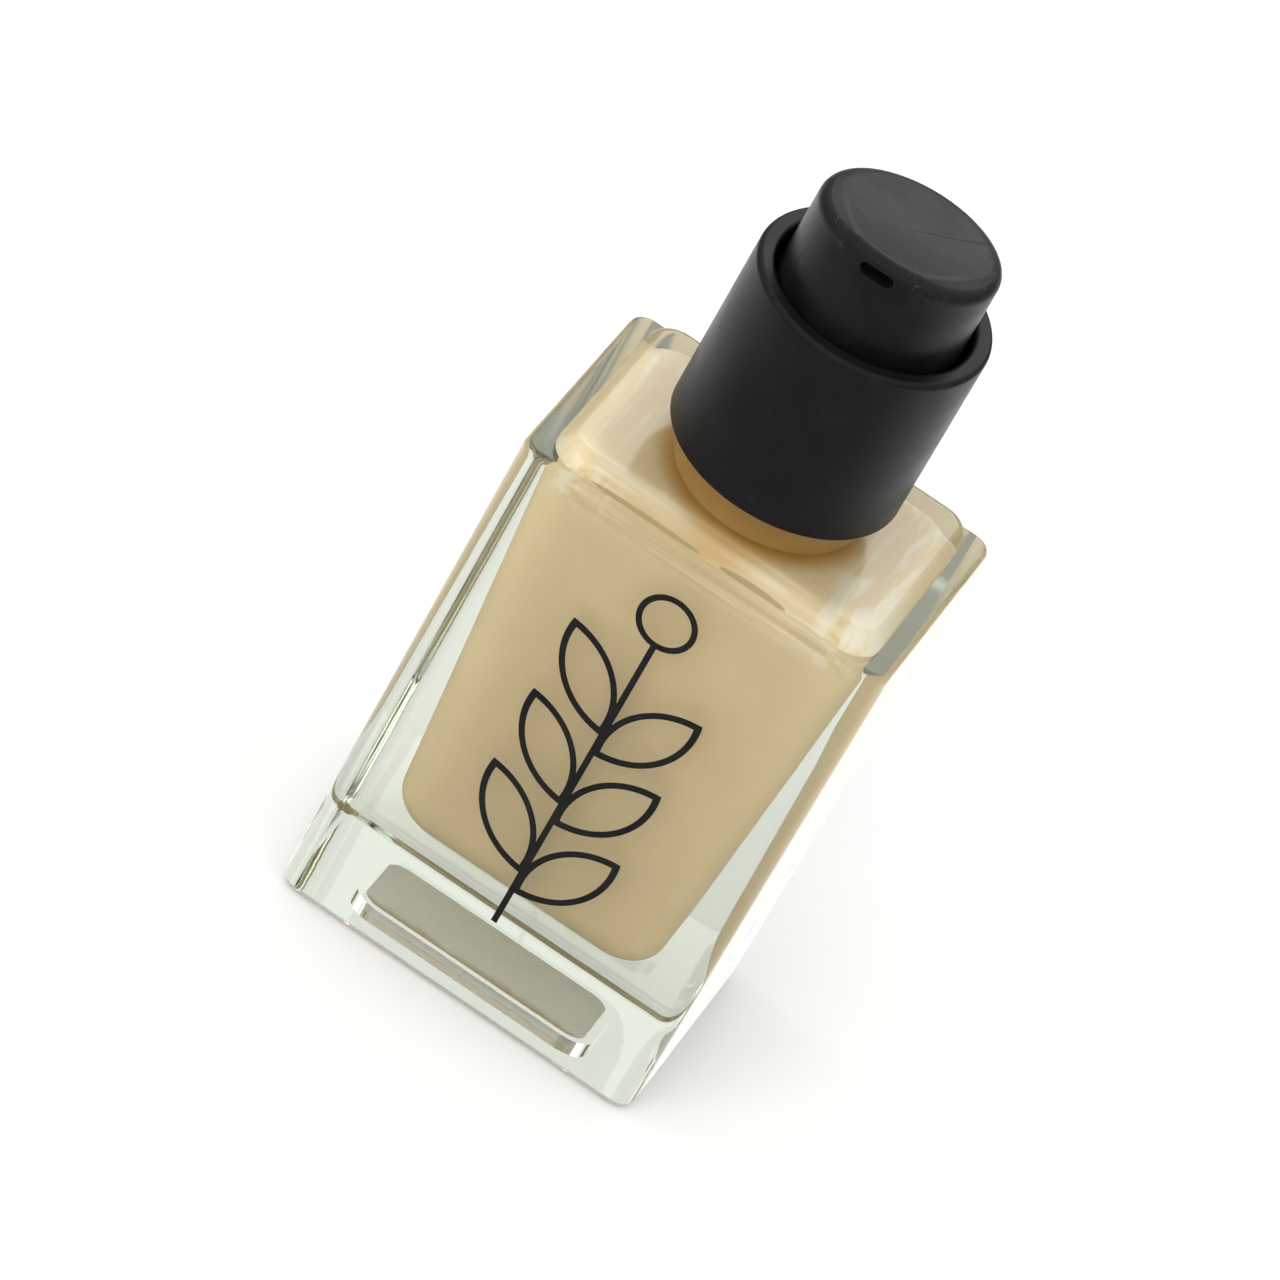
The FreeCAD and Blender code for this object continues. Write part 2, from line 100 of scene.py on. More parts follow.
# How far below the top of the liquid its shoulder finishes fade in, from first to last.
SHOULDER_FADE = (8.6 * MM, 6.4 * MM)
SHADE_OVAL_FADE = (7.5 * MM, 6.5 * MM)
DULL_GLASS_FADE = (5.5 * MM, 3.5 * MM)

# Ovals of painted shade on the front of the shoulder: middle x and y, half length, half width, in
# mm.
SHADE_OVALS = ((-6.9, -10.8, 6.4, 0.16), (4.9, -10.8, 3.8, 0.2))


# ---------------------------------------------------------------- node helpers


def add_node(tree, kind, inputs=None, **settings):
    """One shader node with its settings and its plain input values."""
    node = tree.nodes.new(kind)
    for name, value in settings.items():
        setattr(node, name, value)
    for name, value in (inputs or {}).items():
        node.inputs[name].default_value = value
    return node


def math_node(tree, operation, first, second=None, clamp=False):
    """A Math node; each operand is a socket or a number."""
    node = add_node(tree, "ShaderNodeMath", operation=operation, use_clamp=clamp)
    for place, operand in enumerate((first, second)):
        if operand is None:
            continue
        if isinstance(operand, bpy.types.NodeSocket):
            tree.links.new(operand, node.inputs[place])
        else:
            node.inputs[place].default_value = operand
    return node.outputs[0]


def spread(tree, value, low, high, new_low=0.0, new_high=1.0, smooth=True):
    """Maps value from low..high to new_low..new_high, clamped."""
    node = add_node(
        tree,
        "ShaderNodeMapRange",
        {1: low, 2: high, 3: new_low, 4: new_high},
        interpolation_type="SMOOTHSTEP" if smooth else "LINEAR",
    )
    tree.links.new(value, node.inputs[0])
    return node.outputs[0]


def mix_colour(tree, factor, first, second):
    """A colour between first and second; each is a socket or an RGBA value."""
    node = add_node(tree, "ShaderNodeMix", data_type="RGBA")
    for place, operand in ((0, factor), (6, first), (7, second)):
        if isinstance(operand, bpy.types.NodeSocket):
            tree.links.new(operand, node.inputs[place])
        else:
            node.inputs[place].default_value = operand
    return node.outputs[2]


def object_position(tree, scale=(1.0, 1.0, 1.0), centre=(0.0, 0.0, 0.0)):
    """Object coordinates, moved so that centre is the origin, then scaled."""
    coordinates = add_node(tree, "ShaderNodeTexCoord")
    moved = add_node(tree, "ShaderNodeVectorMath", operation="SUBTRACT")
    moved.inputs[1].default_value = centre
    scaled = add_node(tree, "ShaderNodeVectorMath", operation="MULTIPLY")
    scaled.inputs[1].default_value = scale
    tree.links.new(coordinates.outputs["Object"], moved.inputs[0])
    tree.links.new(moved.outputs[0], scaled.inputs[0])
    return scaled.outputs[0]


def split(tree, vector):
    """The x, y and z sockets of a vector."""
    node = add_node(tree, "ShaderNodeSeparateXYZ")
    tree.links.new(vector, node.inputs[0])
    return node.outputs


def length_of(tree, vector):
    node = add_node(tree, "ShaderNodeVectorMath", operation="LENGTH")
    tree.links.new(vector, node.inputs[0])
    return node.outputs["Value"]


def noise(tree, vector, scale, detail=3.0, roughness=0.55, distortion=0.0):
    """A noise value of about 0.5 on average."""
    node = add_node(
        tree,
        "ShaderNodeTexNoise",
        {"Scale": scale, "Detail": detail, "Roughness": roughness, "Distortion": distortion},
    )
    tree.links.new(vector, node.inputs["Vector"])
    return node.outputs[0]


def bump(tree, height, strength, distance, normal=None):
    """A normal bent by height; distance is the height's real depth in metres."""
    node = add_node(tree, "ShaderNodeBump", {"Strength": strength, "Distance": distance})
    tree.links.new(height, node.inputs["Height"])
    if normal is not None:
        tree.links.new(normal, node.inputs["Normal"])
    return node.outputs[0]


# ---------------------------------------------------------------- shared effects


def new_effect(name, inputs, outputs):
    """An empty node group with named inputs and outputs, and its two end nodes."""
    tree = bpy.data.node_groups.new(name, "ShaderNodeTree")
    for label, value in inputs.items():
        kind = "NodeSocketColor" if isinstance(value, tuple) else "NodeSocketFloat"
        socket = tree.interface.new_socket(label, in_out="INPUT", socket_type=kind)
        socket.default_value = value
    for label, kind in outputs.items():
        tree.interface.new_socket(label, in_out="OUTPUT", socket_type=kind)
    return tree, tree.nodes.new("NodeGroupInput"), tree.nodes.new("NodeGroupOutput")


def tone_drift_effect():
    """Slow, cloudy change between two tones, as in any moulded or poured stuff."""
    tree, given, result = new_effect(
        "tone drift",
        {"Tone": (0.5, 0.5, 0.5, 1.0), "Other tone": (0.6, 0.6, 0.6, 1.0), "Patch size": 0.01},
        {"Color": "NodeSocketColor", "Mask": "NodeSocketFloat"},
    )
    place = object_position(tree)
    scale = math_node(tree, "DIVIDE", 1.0, given.outputs["Patch size"])
    cloud = add_node(tree, "ShaderNodeTexNoise", {"Detail": 4.0, "Roughness": 0.6})
    tree.links.new(place, cloud.inputs["Vector"])
    tree.links.new(scale, cloud.inputs["Scale"])
    mask = spread(tree, cloud.outputs[0], 0.32, 0.68)
    colour = mix_colour(tree, mask, given.outputs["Tone"], given.outputs["Other tone"])
    tree.links.new(colour, result.inputs["Color"])
    tree.links.new(mask, result.inputs["Mask"])
    return tree


def moulded_grain_effect():
    """The fine texture of a spark-eroded mould, as a height."""
    tree, given, result = new_effect(
        "moulded grain",
        {"Grain size": 0.0001},
        {"Height": "NodeSocketFloat"},
    )
    place = object_position(tree)
    scale = math_node(tree, "DIVIDE", 1.0, given.outputs["Grain size"])
    pits = add_node(tree, "ShaderNodeTexNoise", {"Detail": 2.0, "Roughness": 0.5})
    tree.links.new(place, pits.inputs["Vector"])
    tree.links.new(scale, pits.inputs["Scale"])
    tree.links.new(pits.outputs[0], result.inputs["Height"])
    return tree


def handling_marks_effect():
    """Sparse hairline scratches and rubbed patches, as one mask."""
    tree, given, result = new_effect(
        "handling marks",
        {"Scratch spacing": 0.004, "Amount": 0.5},
        {"Mask": "NodeSocketFloat"},
    )
    scale = math_node(tree, "DIVIDE", 1.0, given.outputs["Scratch spacing"])
    hairlines = []
    for stretch in ((1.0, 0.16, 0.3), (0.2, 1.0, 0.4)):
        place = object_position(tree, stretch)
        lines = add_node(
            tree,
            "ShaderNodeTexNoise",
            {"Detail": 1.0, "Roughness": 0.4, "Distortion": 0.6},
        )
        tree.links.new(place, lines.inputs["Vector"])
        tree.links.new(scale, lines.inputs["Scale"])
        offset = math_node(tree, "SUBTRACT", lines.outputs[0], 0.5)
        size = math_node(tree, "ABSOLUTE", offset)
        hairlines.append(spread(tree, size, 0.0, 0.012, 1.0, 0.0))
    rubbed = noise(tree, object_position(tree), 260.0, 5.0, 0.7)
    patches = spread(tree, rubbed, 0.52, 0.66)
    both = math_node(tree, "MAXIMUM", hairlines[0], hairlines[1])
    worn = math_node(tree, "MULTIPLY", both, patches)
    mask = math_node(tree, "MULTIPLY", worn, given.outputs["Amount"], clamp=True)
    tree.links.new(mask, result.inputs["Mask"])
    return tree


EFFECTS = {
    "drift": tone_drift_effect(),
    "grain": moulded_grain_effect(),
    "marks": handling_marks_effect(),
}


def effect(tree, name, **inputs):
    """Places a shared effect in a material with the material's own values."""
    node = tree.nodes.new("ShaderNodeGroup")
    node.node_tree = EFFECTS[name]
    for label, value in inputs.items():
        node.inputs[label.replace("_", " ").capitalize()].default_value = value
    return node.outputs


# ---------------------------------------------------------------- materials


def start_material(name, **plain):
    """A material whose shader has these plain values on its own sockets."""
    material = bpy.data.materials.new(name)
    material.use_nodes = True
    tree = material.node_tree
    shader = tree.nodes["Principled BSDF"]
    for label, value in plain.items():
        shader.inputs[label.replace("_", " ")].default_value = value
    return material, tree, shader


def plastic(name, tone, other_tone, roughness, grain_size, grain_depth, marks=0.0, **plain):
    """Moulded plastic: drifting tone, mould grain, and marks that lighten and roughen it."""
    material, tree, shader = start_material(name, **plain)
    drift = effect(tree, "drift", tone=tone, other_tone=other_tone, patch_size=0.006)
    scratches = effect(tree, "marks", scratch_spacing=0.003, amount=marks)["Mask"]
    pale = tuple(min(1.0, channel * 2.0 + 0.02) for channel in tone[:3]) + (1.0,)
    colour = mix_colour(tree, scratches, drift["Color"], pale)
    low_gloss = spread(tree, drift["Mask"], 0.0, 1.0, roughness - 0.03, roughness + 0.03)
    worn_gloss = math_node(tree, "MULTIPLY", scratches, 0.25)
    gloss = math_node(tree, "ADD", low_gloss, worn_gloss, clamp=True)
    grain = effect(tree, "grain", grain_size=grain_size)["Height"]
    tree.links.new(colour, shader.inputs["Base Color"])
    tree.links.new(gloss, shader.inputs["Roughness"])
    tree.links.new(bump(tree, grain, 0.5, grain_depth), shader.inputs["Normal"])
    return material


def below_fill_top(tree, height, fade, most=1.0):
    """Rises from nought to most over a fade that is stated as two depths under the liquid's top."""
    return spread(tree, height, FILL_HIGH.z - fade[0], FILL_HIGH.z - fade[1], 0.0, most)


def clear_glass_material():
    """Clear pressed glass with a faint green body tint and a slightly wavy skin."""
    material, tree, shader = start_material(
        "clear_glass", Transmission_Weight=1.0, Metallic=0.0, IOR=1.5
    )
    drift = effect(
        tree,
        "drift",
        tone=(0.975, 0.978, 0.968, 1.0),
        other_tone=(0.955, 0.96, 0.945, 1.0),
        patch_size=0.012,
    )
    smears_and_highlights = effect(tree, "marks", scratch_spacing=0.005, amount=0.6)["Mask"]
    # The mould leaves the shoulder around the neck less bright than the walls.
    height = split(tree, object_position(tree))[2]
    dull = below_fill_top(tree, height, DULL_GLASS_FADE, 0.14)
    gloss = math_node(tree, "ADD", math_node(tree, "MULTIPLY", smears_and_highlights, 0.08), dull)
    ripple = noise(tree, object_position(tree, (1.0, 1.0, 0.45)), 120.0, 2.0, 0.45)
    absorb = add_node(
        tree,
        "ShaderNodeVolumeAbsorption",
        {"Color": (0.79, 0.825, 0.745, 1.0), "Density": 40.0},
    )
    output = tree.nodes["Material Output"]
    tree.links.new(absorb.outputs[0], output.inputs["Volume"])
    tree.links.new(drift["Color"], shader.inputs["Base Color"])
    tree.links.new(gloss, shader.inputs["Roughness"])
    tree.links.new(bump(tree, ripple, 0.35, 0.00012), shader.inputs["Normal"])
    return material


def oval_mask(tree, centre, half_length, half_width):
    """One inside an upright oval column, nought outside it, in plan."""
    place = object_position(tree, (1.0 / half_length, 1.0 / half_width, 0.0), centre)
    return spread(tree, length_of(tree, place), 0.9, 1.0, 1.0, 0.0)


def foundation_material():
    """Cream-coloured liquid foundation, with painted shade low down and painted light and shade on
    its shoulder.
    """
    material, tree, shader = start_material(
        "foundation", Specular_IOR_Level=0.25, Subsurface_Weight=0.12
    )
    shader.inputs["Subsurface Radius"].default_value = (1.0, 0.7, 0.4)
    shader.inputs["Subsurface Scale"].default_value = 0.0006
    drift = effect(
        tree,
        "drift",
        tone=(0.83, 0.665, 0.385, 1.0),
        other_tone=(0.86, 0.695, 0.41, 1.0),
        patch_size=0.009,
    )
    height = split(tree, object_position(tree))[2]
    # Painted shade: the liquid is darker towards the bottom.
    shade_near_bottom = spread(tree, height, FILL_LOW.z, FILL_LOW.z + 42.0 * MM, 0.45, 0.0)
    body_tone = mix_colour(tree, shade_near_bottom, drift["Color"], (0.735, 0.575, 0.325, 1.0))
    # Painted highlight and shade lines run along the front edge of the shoulder, pale and dark by
    # turns.
    band_noise = noise(tree, object_position(tree, (0.03, 1.0, 1.0)), 1500.0, 2.0, 0.5)
    depth = split(tree, object_position(tree))[1]
    in_front = spread(tree, depth, -10.4 * MM, -9.0 * MM, 1.0, 0.06)
    near_top = below_fill_top(tree, height, SHOULDER_FADE)
    painted_band_area = math_node(tree, "MULTIPLY", in_front, near_top)
    painted_shade_lines = math_node(tree, "MULTIPLY", spread(tree, band_noise, 0.52, 0.6), painted_band_area)
    painted_light_lines = math_node(tree, "MULTIPLY", spread(tree, band_noise, 0.48, 0.4), painted_band_area)
    dark_share = math_node(tree, "MULTIPLY", painted_shade_lines, 0.28)
    pale_share = math_node(tree, "MULTIPLY", painted_light_lines, 0.75)
    lined = mix_colour(tree, dark_share, body_tone, (0.56, 0.38, 0.17, 1.0))
    lined = mix_colour(tree, pale_share, lined, (0.93, 0.84, 0.62, 1.0))
    # Painted highlights run from front to back over the two ends of the shoulder.
    highlight_noise = noise(tree, object_position(tree, (1.0, 0.14, 0.6)), 620.0, 3.0, 0.55, 0.5)
    width = math_node(tree, "ABSOLUTE", split(tree, object_position(tree))[0])
    at_ends = spread(tree, width, 9.0 * MM, 12.5 * MM)
    smears_and_highlights = math_node(tree, "MULTIPLY", spread(tree, highlight_noise, 0.5, 0.64), at_ends)
    smears_and_highlights = math_node(tree, "MULTIPLY", smears_and_highlights, near_top)
    smears_and_highlights = math_node(tree, "MULTIPLY", smears_and_highlights, 0.7)
    lined = mix_colour(tree, smears_and_highlights, lined, (0.95, 0.90, 0.74, 1.0))
    # Light reaches the neck root only through the liquid, so it is amber there.
    around_neck = length_of(tree, object_position(tree, (1.0, 1.0, 0.0)))
    ring = spread(
        tree, around_neck, NECK_ROOT_RADIUS - 0.6 * MM, NECK_ROOT_RADIUS + 2.2 * MM, 1.0, 0.0
    )
    ring = math_node(tree, "MULTIPLY", ring, near_top)
    ringed = mix_colour(tree, ring, lined, (0.66, 0.36, 0.085, 1.0))
    # Two ovals of painted shade on the front of the shoulder.
    ovals = [
        oval_mask(tree, (x * MM, y * MM, 0.0), half_length * MM, half_width * MM)
        for x, y, half_length, half_width in SHADE_OVALS
    ]
    painted_shade_ovals = math_node(tree, "MAXIMUM", *ovals)
    high = below_fill_top(tree, height, SHADE_OVAL_FADE)
    painted_shade_ovals = math_node(tree, "MULTIPLY", painted_shade_ovals, high)
    painted_shade_ovals = math_node(tree, "MULTIPLY", painted_shade_ovals, 0.75)
    colour = mix_colour(tree, painted_shade_ovals, ringed, (0.43, 0.30, 0.13, 1.0))
    gloss = spread(tree, drift["Mask"], 0.0, 1.0, 0.42, 0.52)
    tree.links.new(colour, shader.inputs["Base Color"])
    tree.links.new(gloss, shader.inputs["Roughness"])
    tree.links.new(bump(tree, band_noise, 0.08, 0.00002), shader.inputs["Normal"])
    return material


def print_ink_material():
    """Black screen-printing ink: a thin, even coat that is a little thin in places."""
    return plastic(
        "print_ink",
        (0.004, 0.004, 0.004, 1.0),
        (0.008, 0.008, 0.0075, 1.0),
        0.42,
        0.00009,
        0.000004,
        marks=0.3,
        Specular_IOR_Level=0.25,
    )


def label_material():
    """Blank paper label: pale beige with short fibres."""
    material, tree, shader = start_material("label", Specular_IOR_Level=0.2)
    fibres = noise(tree, object_position(tree, (1.0, 0.3, 1.0)), 5200.0, 4.0, 0.7, 0.8)
    drift = effect(
        tree,
        "drift",
        tone=(0.93, 0.93, 0.90, 1.0),
        other_tone=(0.96, 0.96, 0.93, 1.0),
        patch_size=0.003,
    )
    shade = spread(tree, fibres, 0.35, 0.65, 0.0, 0.14)
    paper = mix_colour(tree, shade, drift["Color"], (0.72, 0.68, 0.57, 1.0))
    # A brown band along its front edge is a painted reflection of the liquid in the base glass.
    depth = split(tree, object_position(tree))[1]
    band_wobble = noise(tree, object_position(tree, (1.0, 0.2, 1.0)), 420.0, 3.0, 0.6)
    reach = spread(tree, band_wobble, 0.3, 0.7, 0.5 * MM, 1.3 * MM)
    edge = math_node(tree, "SUBTRACT", math_node(tree, "SUBTRACT", depth, LABEL_LOW.y), reach)
    painted_reflection_band = spread(tree, edge, -0.9 * MM, 0.9 * MM, 0.8, 0.0)
    colour = mix_colour(tree, painted_reflection_band, paper, (0.60, 0.48, 0.27, 1.0))
    gloss = spread(tree, fibres, 0.3, 0.7, 0.62, 0.78)
    tree.links.new(colour, shader.inputs["Base Color"])
    tree.links.new(gloss, shader.inputs["Roughness"])
    tree.links.new(bump(tree, fibres, 0.6, 0.00002), shader.inputs["Normal"])
    return material


def gasket_foam_material():
    """Closed-cell foam: soft white, with fine cells."""
    material, tree, shader = start_material("gasket_foam", Specular_IOR_Level=0.3)
    cells = add_node(tree, "ShaderNodeTexVoronoi", {"Scale": 4200.0})
    tree.links.new(object_position(tree), cells.inputs["Vector"])
    hollow = spread(tree, cells.outputs["Distance"], 0.0, 0.6)
    drift = effect(
        tree,
        "drift",
        tone=(0.78, 0.78, 0.75, 1.0),
        other_tone=(0.84, 0.84, 0.81, 1.0),
        patch_size=0.004,
    )
    shaded = math_node(tree, "MULTIPLY", hollow, 0.2)
    colour = mix_colour(tree, shaded, drift["Color"], (0.6, 0.6, 0.57, 1.0))
    tree.links.new(colour, shader.inputs["Base Color"])
    tree.links.new(spread(tree, hollow, 0.0, 1.0, 0.7, 0.85), shader.inputs["Roughness"])
    tree.links.new(bump(tree, hollow, 0.6, 0.00005), shader.inputs["Normal"])
    return material


def natural_plastic_material():
    """Unpigmented, milky plastic of the pump body and the dip tube."""
    return plastic(
        "natural_plastic",
        (0.80, 0.81, 0.78, 1.0),
        (0.86, 0.87, 0.84, 1.0),
        0.32,
        0.00018,
        0.000004,
        marks=0.2,
        Subsurface_Weight=0.35,
        Subsurface_Scale=0.0012,
    )


def white_plastic_material():
    """White acetal of the stem and the piston rod."""
    return plastic(
        "white_plastic",
        (0.82, 0.82, 0.80, 1.0),
        (0.88, 0.88, 0.86, 1.0),
        0.3,
        0.0002,
        0.000003,
        marks=0.2,
    )


def seal_plastic_material():
    """Soft, waxy plastic of the sliding seal."""
    return plastic(
        "seal_plastic",
        (0.72, 0.74, 0.74, 1.0),
        (0.79, 0.80, 0.80, 1.0),
        0.5,
        0.00012,
        0.000006,
        Subsurface_Weight=0.2,
        Subsurface_Scale=0.0008,
    )


def steel(name, tone, other_tone, roughness, stretch, scale, depth):
    """Bare steel with drawing or grinding lines."""
    material, tree, shader = start_material(name, Metallic=1.0)
    lines = noise(tree, object_position(tree, stretch), scale, 4.0, 0.65)
    drift = effect(tree, "drift", tone=tone, other_tone=other_tone, patch_size=0.002)
    gloss = spread(tree, lines, 0.3, 0.7, roughness, roughness + 0.12)
    tree.links.new(drift["Color"], shader.inputs["Base Color"])
    tree.links.new(gloss, shader.inputs["Roughness"])
    tree.links.new(bump(tree, lines, 0.4, depth), shader.inputs["Normal"])
    return material


def steel_ball_material():
    return steel(
        "steel_ball",
        (0.60, 0.60, 0.59, 1.0),
        (0.66, 0.66, 0.65, 1.0),
        0.08,
        (1.0, 1.0, 1.0),
        6000.0,
        0.0000008,
    )


def spring_steel_material():
    return steel(
        "spring_steel",
        (0.48, 0.47, 0.45, 1.0),
        (0.56, 0.55, 0.53, 1.0),
        0.24,
        (1.0, 1.0, 6.0),
        4000.0,
        0.000002,
    )


def black_closure_material():
    return plastic(
        "black_closure",
        (0.010, 0.010, 0.010, 1.0),
        (0.014, 0.014, 0.014, 1.0),
        0.4,
        0.00014,
        0.000006,
        marks=0.3,
        Specular_IOR_Level=0.4,
    )


def black_collar_material():
    """Satin black collar with a fine, even mould texture."""
    return plastic(
        "black_collar",
        (0.0045, 0.0047, 0.0046, 1.0),
        (0.0065, 0.0067, 0.0066, 1.0),
        0.36,
        0.00016,
        0.000008,
        marks=0.25,
        Specular_IOR_Level=0.16,
    )


def black_head_material():
    """Semi-gloss black head: rubbed dish, polished lip over the nozzle, mould seam."""
    material, tree, shader = start_material("black_head", Specular_IOR_Level=0.17)
    drift = effect(
        tree,
        "drift",
        tone=(0.0042, 0.0044, 0.0042, 1.0),
        other_tone=(0.0080, 0.0083, 0.0079, 1.0),
        patch_size=0.005,
    )
    marks = effect(tree, "marks", scratch_spacing=0.0016, amount=0.5)["Mask"]
    height = split(tree, object_position(tree))[2]
    on_dish = spread(tree, height, HEAD_HIGH.z - 3.4 * MM, HEAD_HIGH.z - 1.8 * MM)
    scuffs = math_node(tree, "MULTIPLY", marks, on_dish)
    scuffed = mix_colour(tree, scuffs, drift["Color"], (0.075, 0.078, 0.075, 1.0))
    # The lip over the nozzle was polished in the mould.
    nozzle = (0.0, HEAD_LOW.y, HEAD_HIGH.z - 0.9 * MM)
    reach = length_of(tree, object_position(tree, (1.0, 1.0, 1.6), nozzle))
    lip = spread(tree, reach, 1.1 * MM, 1.9 * MM, 0.3, 1.0)
    satin = spread(tree, drift["Mask"], 0.0, 1.0, 0.30, 0.38)
    worn = math_node(tree, "MULTIPLY", scuffs, 0.3)
    gloss = math_node(tree, "ADD", math_node(tree, "MULTIPLY", lip, satin), worn, clamp=True)
    # The two mould halves meet in a plane through the axis.
    seam_turn = math.radians(SEAM_AZIMUTH)
    across = add_node(tree, "ShaderNodeVectorMath", operation="DOT_PRODUCT")
    across.inputs[1].default_value = (math.cos(seam_turn), math.sin(seam_turn), 0.0)
    tree.links.new(object_position(tree), across.inputs[0])
    off_seam = math_node(tree, "ABSOLUTE", across.outputs["Value"])
    seam = spread(tree, off_seam, 0.02 * MM, 0.09 * MM, 1.0, 0.0)
    on_wall = spread(tree, height, HEAD_HIGH.z - 2.0 * MM, HEAD_HIGH.z - 1.2 * MM, 1.0, 0.0)
    seam = math_node(tree, "MULTIPLY", seam, on_wall)
    pale_seam = math_node(tree, "MULTIPLY", seam, 0.15)
    colour = mix_colour(tree, pale_seam, scuffed, (0.05, 0.05, 0.05, 1.0))
    grain = effect(tree, "grain", grain_size=0.00022)["Height"]
    skin = bump(tree, grain, 0.35, 0.000004)
    ridge = bump(tree, seam, 0.8, 0.00004, skin)
    tree.links.new(colour, shader.inputs["Base Color"])
    tree.links.new(gloss, shader.inputs["Roughness"])
    tree.links.new(ridge, shader.inputs["Normal"])
    return material


def black_core_material():
    return plastic(
        "black_core",
        (0.004, 0.004, 0.004, 1.0),
        (0.006, 0.006, 0.006, 1.0),
        0.45,
        0.00015,
        0.000006,
        marks=0.0,
        Specular_IOR_Level=0.1,
    )


def floor_material():
    """Plain pale table top."""
    material, tree, shader = start_material("pale_floor", Specular_IOR_Level=0.1)
    drift = effect(
        tree,
        "drift",
        tone=(0.80, 0.80, 0.795, 1.0),
        other_tone=(0.81, 0.81, 0.805, 1.0),
        patch_size=0.2,
    )
    tree.links.new(drift["Color"], shader.inputs["Base Color"])
    shader.inputs["Roughness"].default_value = 0.8
    return material


MATERIALS = {
    "clear_glass": clear_glass_material(),
    "foundation": foundation_material(),
    "print_ink": print_ink_material(),
    "label": label_material(),
    "gasket_foam": gasket_foam_material(),
    "natural_plastic": natural_plastic_material(),
    "steel_ball": steel_ball_material(),
    "spring_steel": spring_steel_material(),
    "white_plastic": white_plastic_material(),
    "seal_plastic": seal_plastic_material(),
    "black_closure": black_closure_material(),
    "black_collar": black_collar_material(),
    "black_head": black_head_material(),
    "black_core": black_core_material(),
}


def finish_cad_nodes():
    """Gives each node the material of its own slot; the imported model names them."""
    for node in NODES.values():
        for place, packed in enumerate(node.data.materials):
            slot_name = packed.name.split(".")[0]
            node.material_slots[place].material = MATERIALS[slot_name]


# ---------------------------------------------------------------- pieces


def finish_piece(name, mesh, material, body):
    """Puts a mesh in the scene, smooth but for its sharp edges, and hangs it on its body."""
    piece = bpy.data.objects.new(name, mesh)
    bpy.context.scene.collection.objects.link(piece)
    mesh.materials.clear()
    mesh.materials.append(MATERIALS[material])
    mesh.shade_smooth()
    mesh.set_sharp_from_angle(angle=math.radians(SHARP_ANGLE))
    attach(piece, body)
    return piece


def wetted_copy(node_name, piece_name, material, body):
    """A node's shape, grown by a hair, so that it touches the glass with no air between."""
    mesh = NODES[node_name].data.copy()
    mesh.name = piece_name
    shape = bmesh.new()
    shape.from_mesh(mesh)
    bmesh.ops.remove_doubles(shape, verts=shape.verts, dist=MERGE_DISTANCE)
    shape.normal_update()
    shape.to_mesh(mesh)
    shape.free()
    if "custom_normal" in mesh.attributes:
        mesh.attributes.remove(mesh.attributes["custom_normal"])
    piece = finish_piece(piece_name, mesh, material, body)
    skin = piece.modifiers.new("wet skin", "DISPLACE")
    skin.direction = "NORMAL"
    skin.mid_level = 0.0
    skin.strength = WET_SKIN
    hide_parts(node_name)
    return piece


def liquid():
    """The foundation, which wets the inside of the glass."""
    return wetted_copy("foundation_fill", "liquid", "foundation", "bottle")


def glued_label():
    """The blank label, glued flat to the glass of its recess."""
    return wetted_copy("base_label", "glued_label", "label", "bottle")


# ---------------------------------------------------------------- stage, light, camera


def pale_floor():
    shape = bmesh.new()
    bmesh.ops.create_grid(shape, x_segments=1, y_segments=1, size=FLOOR_SIZE)
    bmesh.ops.translate(shape, verts=shape.verts, vec=(0.0, 0.0, -FLOOR_GAP))
    mesh = bpy.data.meshes.new("floor")
    shape.to_mesh(mesh)
    shape.free()
    floor = bpy.data.objects.new("floor", mesh)
    bpy.context.scene.collection.objects.link(floor)
    mesh.materials.append(floor_material())
    floor.visible_glossy = False


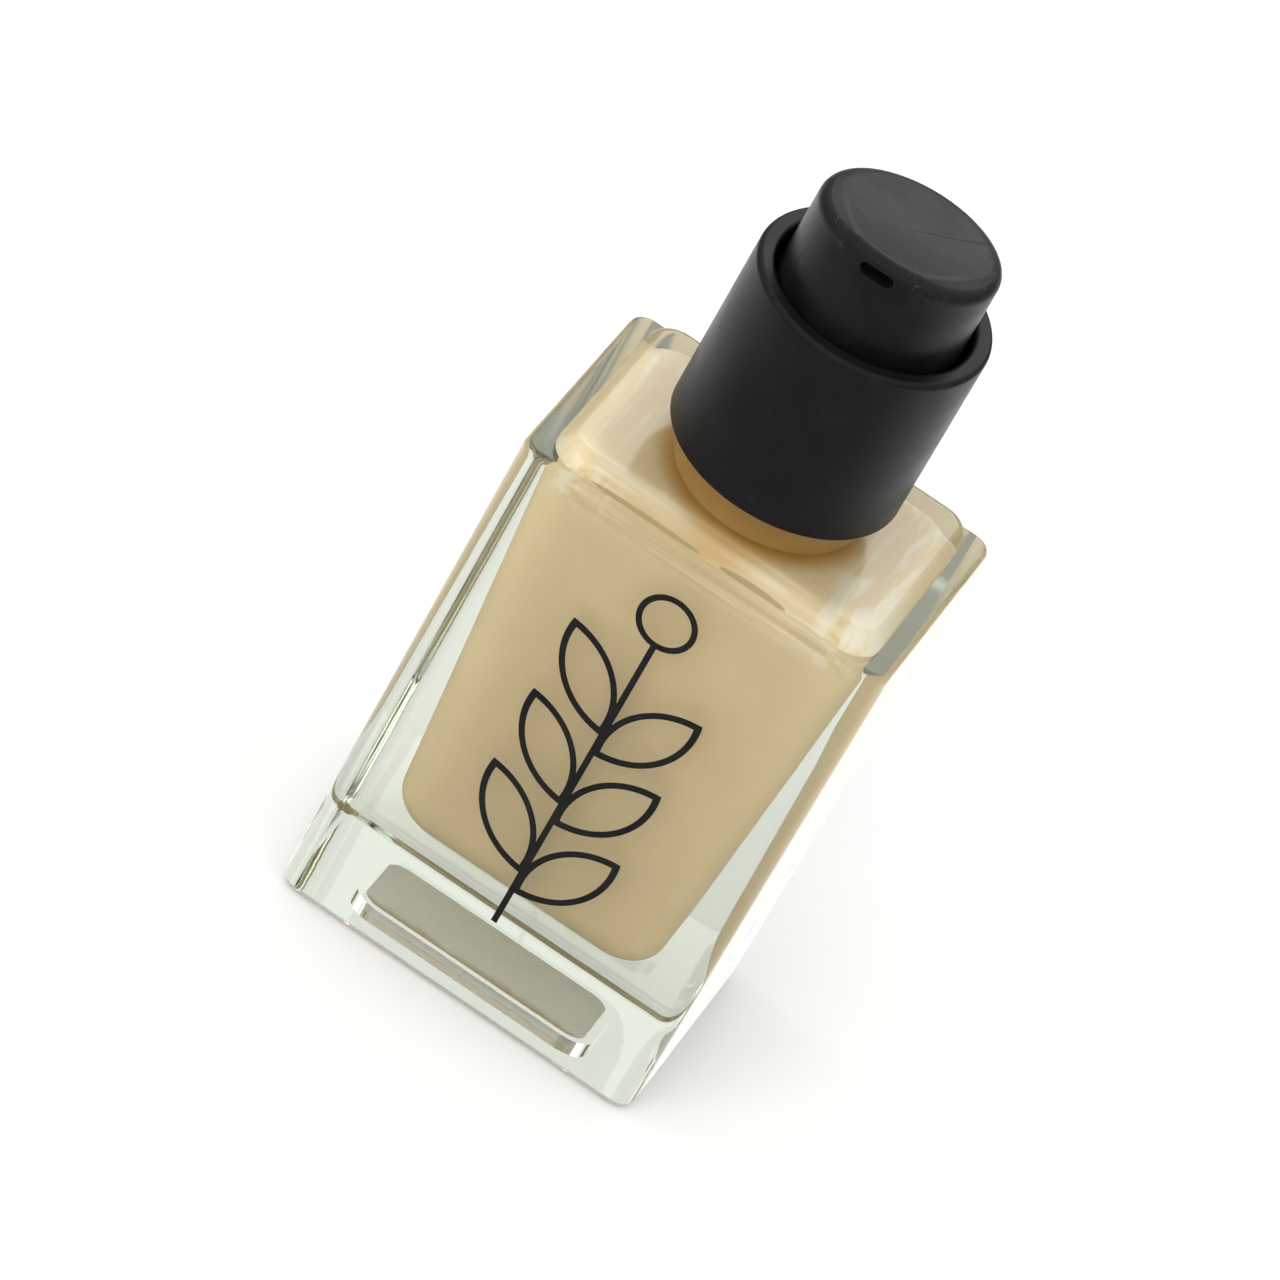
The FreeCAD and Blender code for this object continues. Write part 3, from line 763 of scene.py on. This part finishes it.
def soft_box(name, place, width, height, power, unseen_by):
    """A large soft lamp that faces the middle of the object."""
    light = bpy.data.lights.new(name, "AREA")
    light.shape = "RECTANGLE"
    light.size = width
    light.size_y = height
    light.energy = power
    lamp = bpy.data.objects.new(name, light)
    bpy.context.scene.collection.objects.link(lamp)
    middle = (cad_box[0] + cad_box[1]) / 2
    lamp.location = place
    lamp.rotation_mode = "QUATERNION"
    lamp.rotation_quaternion = (middle - Vector(place)).to_track_quat("-Z", "Y")
    lamp.visible_camera = False
    setattr(lamp, unseen_by, False)


def studio():
    """A bright room that is dim in front, with four soft lamps."""
    world = bpy.data.worlds.new("studio")
    bpy.context.scene.world = world
    world.use_nodes = True
    tree = world.node_tree
    background = tree.nodes["Background"]
    direction = tree.nodes.new("ShaderNodeTexCoord").outputs["Generated"]
    _, depth, rise = split(tree, direction)
    front = spread(tree, rise, -0.1, 0.85, FRONT_LOW, FRONT_HIGH)
    off_belt = math_node(tree, "ABSOLUTE", math_node(tree, "SUBTRACT", rise, BELT_RISE))
    around = spread(tree, off_belt, 0.15, 0.5, BELT, AROUND)
    glare = spread(tree, rise, -0.5, -0.3, TABLE_GLARE, 1.0)
    around = math_node(tree, "MULTIPLY", around, glare)
    share = spread(tree, depth, -0.55, 0.3)
    brightness = add_node(tree, "ShaderNodeMix")
    for place, value in ((0, share), (2, front), (3, around)):
        tree.links.new(value, brightness.inputs[place])
    background.inputs["Color"].default_value = (1.0, 1.0, 1.0, 1.0)
    tree.links.new(brightness.outputs[0], background.inputs["Strength"])
    for lamp in LAMPS:
        soft_box(*lamp)
    bpy.context.scene.view_settings.view_transform = "Standard"


def place_camera():
    camera = bpy.data.objects.new("camera", bpy.data.cameras.new("camera"))
    bpy.context.scene.collection.objects.link(camera)
    turn, rise = math.radians(CAMERA_AZIMUTH), math.radians(CAMERA_ELEVATION)
    back = Vector(
        (
            math.sin(turn) * math.cos(rise),
            -math.cos(turn) * math.cos(rise),
            math.sin(rise),
        )
    )
    lean = Quaternion((0.0, 0.0, 1.0), math.radians(CAMERA_ROLL))
    camera.location = CAMERA_AIM + back * CAMERA_DISTANCE
    camera.rotation_mode = "QUATERNION"
    camera.rotation_quaternion = (-back).to_track_quat("-Z", "Y") @ lean
    camera.data.lens = CAMERA_LENS
    camera.data.sensor_width = CAMERA_SENSOR
    camera.data.clip_start = CAMERA_NEAR
    camera.data.clip_end = CAMERA_FAR
    bpy.context.scene.camera = camera


place_camera()
studio()
pale_floor()
finish_cad_nodes()
liquid()
glued_label()
